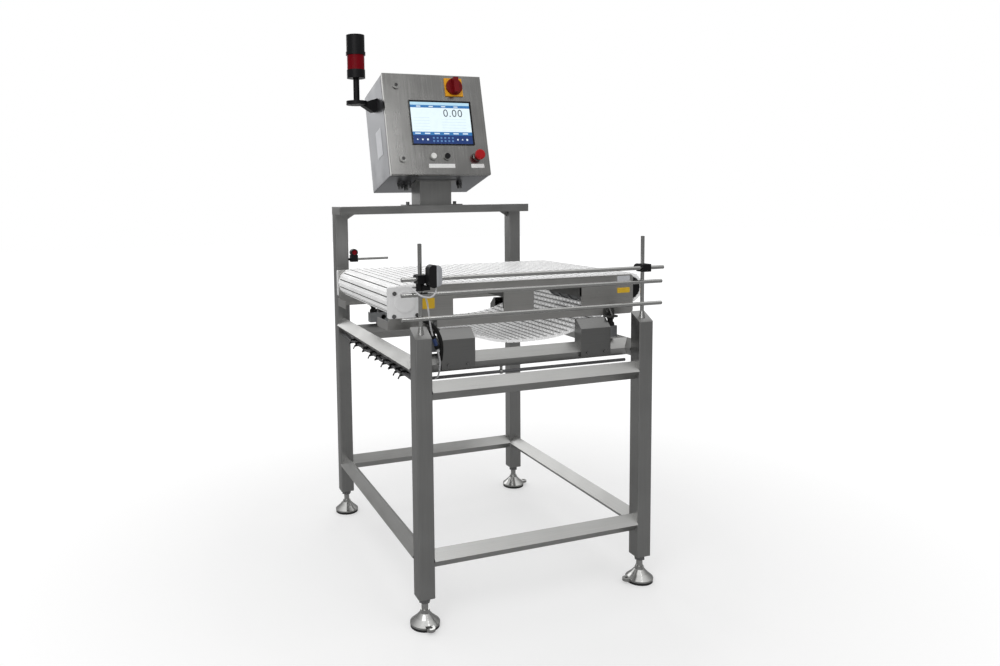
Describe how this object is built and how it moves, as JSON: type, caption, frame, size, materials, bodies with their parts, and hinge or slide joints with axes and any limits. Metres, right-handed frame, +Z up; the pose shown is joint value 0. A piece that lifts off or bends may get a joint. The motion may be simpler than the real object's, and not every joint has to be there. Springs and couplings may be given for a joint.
{
  "type": "checkweigher",
  "caption": "Modular-belt weighing conveyor on load cells in a stainless tube frame, with side guides, a tilted operator cabinet and a signal tower.",
  "frame": {"origin": "on the floor, midway between the four legs", "axes": "+X along the belt's travel, +Y away from the operator, +Z up"},
  "size_m": [0.8805, 1.1814, 1.876],
  "materials": {
    "brushed_frame": "brushed stainless steel, fine grain along the tube",
    "sheet_steel": "satin stainless sheet",
    "polished_steel": "turned and polished stainless steel",
    "rod_steel": "drawn stainless rod",
    "foot_steel": "polished stainless foot on a black rubber pad",
    "cell_aluminium": "milled aluminium",
    "black_rubber": "matt black rubber",
    "white_belt": "white modular acetal belt",
    "white_plastic": "white moulded plastic",
    "black_plastic": "black moulded plastic",
    "grey_paint": "grey painted housing",
    "grey_cable": "grey cable sheath",
    "galvanised": "galvanised sheet",
    "yellow_plastic": "yellow plastic",
    "red_plastic": "red plastic",
    "red_lens": "translucent red lens",
    "screen": "black terminal with a lit screen",
    "white_cap": "white button cap"
  },
  "bodies": {
    "frame": {"front_left_leg": "brushed_frame", "front_right_leg": "brushed_frame", "rear_left_leg": "brushed_frame", "rear_right_leg": "brushed_frame", "frame_rails": "brushed_frame", "upper_front_rail": "brushed_frame", "upper_rear_rail": "brushed_frame", "instrument_shelf": "brushed_frame", "load_cells": "cell_aluminium", "conveyor_mounts": "black_rubber", "conveyor_brackets": "sheet_steel", "load_cell_covers": "sheet_steel", "front_side_plate": "sheet_steel", "rear_side_plate": "sheet_steel", "conveyor_cross_tubes": "sheet_steel", "wear_strips": "white_plastic", "infeed_end_blocks": "white_plastic", "drive_bearings": "black_plastic", "drive_gearbox": "grey_paint", "drive_motor": "grey_paint", "junction_box": "black_plastic", "conveyor_belt": "white_belt", "guide_frame": "rod_steel", "cabinet_shell": "sheet_steel", "mounting_plate": "galvanised", "pedestal": "sheet_steel", "cable_glands": "black_plastic", "stack_light": "black_plastic", "stack_lens": "red_lens", "photo_sensors": "black_plastic", "sensor_mounts": "black_plastic", "cable_bundle": "grey_cable", "cross_cable": "grey_cable", "cable_ties": "black_plastic", "sensor_cable": "grey_cable", "machine_bolts": "polished_steel"},
    "front_left_foot": {"front_left_foot": "foot_steel"},
    "front_right_foot": {"front_right_foot": "foot_steel"},
    "rear_left_foot": {"rear_left_foot": "foot_steel"},
    "rear_right_foot": {"rear_right_foot": "foot_steel"},
    "idler": {"idler_shaft": "rod_steel", "idler_wheels": "white_plastic"},
    "drive": {"drive_shaft": "rod_steel", "drive_sprockets": "white_plastic"},
    "guide": {"upper_guide_rod": "rod_steel", "rod_clamps": "black_plastic"},
    "left_knob": {"left_clamp_knob": "black_plastic"},
    "right_knob": {"right_clamp_knob": "black_plastic"},
    "door": {"cabinet_door": "sheet_steel", "door_gasket": "black_rubber", "door_fittings": "polished_steel", "switch_plate": "yellow_plastic", "contact_blocks": "black_plastic", "display_terminal": "screen"},
    "upper_lock": {"upper_lock": "polished_steel"},
    "lower_lock": {"lower_lock": "polished_steel"},
    "switch": {"switch_knob": "red_plastic"},
    "white_button": {"white_button": "white_cap"},
    "black_button": {"black_button": "black_plastic"},
    "estop": {"estop_button": "red_plastic"}
  },
  "joints": [
    {"name": "front_left_levelling", "type": "slide", "parent": "frame", "child": "front_left_foot", "axis": [0, 0, -1], "range_m": [-0.02, 0.03]},
    {"name": "front_right_levelling", "type": "slide", "parent": "frame", "child": "front_right_foot", "axis": [0, 0, -1], "range_m": [-0.02, 0.03]},
    {"name": "rear_left_levelling", "type": "slide", "parent": "frame", "child": "rear_left_foot", "axis": [0, 0, -1], "range_m": [-0.02, 0.03]},
    {"name": "rear_right_levelling", "type": "slide", "parent": "frame", "child": "rear_right_foot", "axis": [0, 0, -1], "range_m": [-0.02, 0.03]},
    {"name": "drive_spin", "type": "hinge", "parent": "frame", "child": "drive", "pos_m": [0.39, -0.069, 0.945], "axis": [0, 1, 0], "continuous": true},
    {"name": "idler_spin", "type": "hinge", "parent": "frame", "child": "idler", "pos_m": [-0.39, -0.069, 0.945], "axis": [0, 1, 0], "continuous": true},
    {"name": "guide_height", "type": "slide", "parent": "frame", "child": "guide", "axis": [0, 0, 1], "range_m": [0, 0.08]},
    {"name": "left_knob_turn", "type": "hinge", "parent": "guide", "child": "left_knob", "pos_m": [-0.37, -0.44, 1.019], "axis": [0, 1, 0], "range_deg": [-180, 180]},
    {"name": "right_knob_turn", "type": "hinge", "parent": "guide", "child": "right_knob", "pos_m": [0.37, -0.44, 1.019], "axis": [0, 1, 0], "range_deg": [-180, 180]},
    {"name": "door_swing", "type": "hinge", "parent": "frame", "child": "door", "pos_m": [0.2031, 0.37934, 1.52478], "axis": [0, 0.2588, 0.9659], "range_deg": [0, 100]},
    {"name": "upper_lock_turn", "type": "hinge", "parent": "door", "child": "upper_lock", "pos_m": [-0.153, 0.40906, 1.67625], "axis": [0, 0.9659, -0.2588], "range_deg": [0, 90]},
    {"name": "lower_lock_turn", "type": "hinge", "parent": "door", "child": "lower_lock", "pos_m": [-0.153, 0.33297, 1.39227], "axis": [0, -0.9659, 0.2588], "range_deg": [0, 90]},
    {"name": "main_switch", "type": "hinge", "parent": "door", "child": "switch", "pos_m": [0.0845, 0.38922, 1.67949], "axis": [0, 0.9659, -0.2588], "range_deg": [0, 90]},
    {"name": "white_press", "type": "slide", "parent": "door", "child": "white_button", "axis": [0, 0.9659, -0.2588], "range_m": [0, 0.003], "stiffness_N_per_m": 800, "springref_m": -0.0015},
    {"name": "black_press", "type": "slide", "parent": "door", "child": "black_button", "axis": [0, 0.9659, -0.2588], "range_m": [0, 0.003], "stiffness_N_per_m": 800, "springref_m": -0.0015},
    {"name": "stop_press", "type": "slide", "parent": "door", "child": "estop", "axis": [0, 0.9659, -0.2588], "range_m": [0, 0.004]}
  ],
  "couplings": [
    {"joint": "idler_spin", "follows": "drive_spin", "ratio": 1}
  ]
}
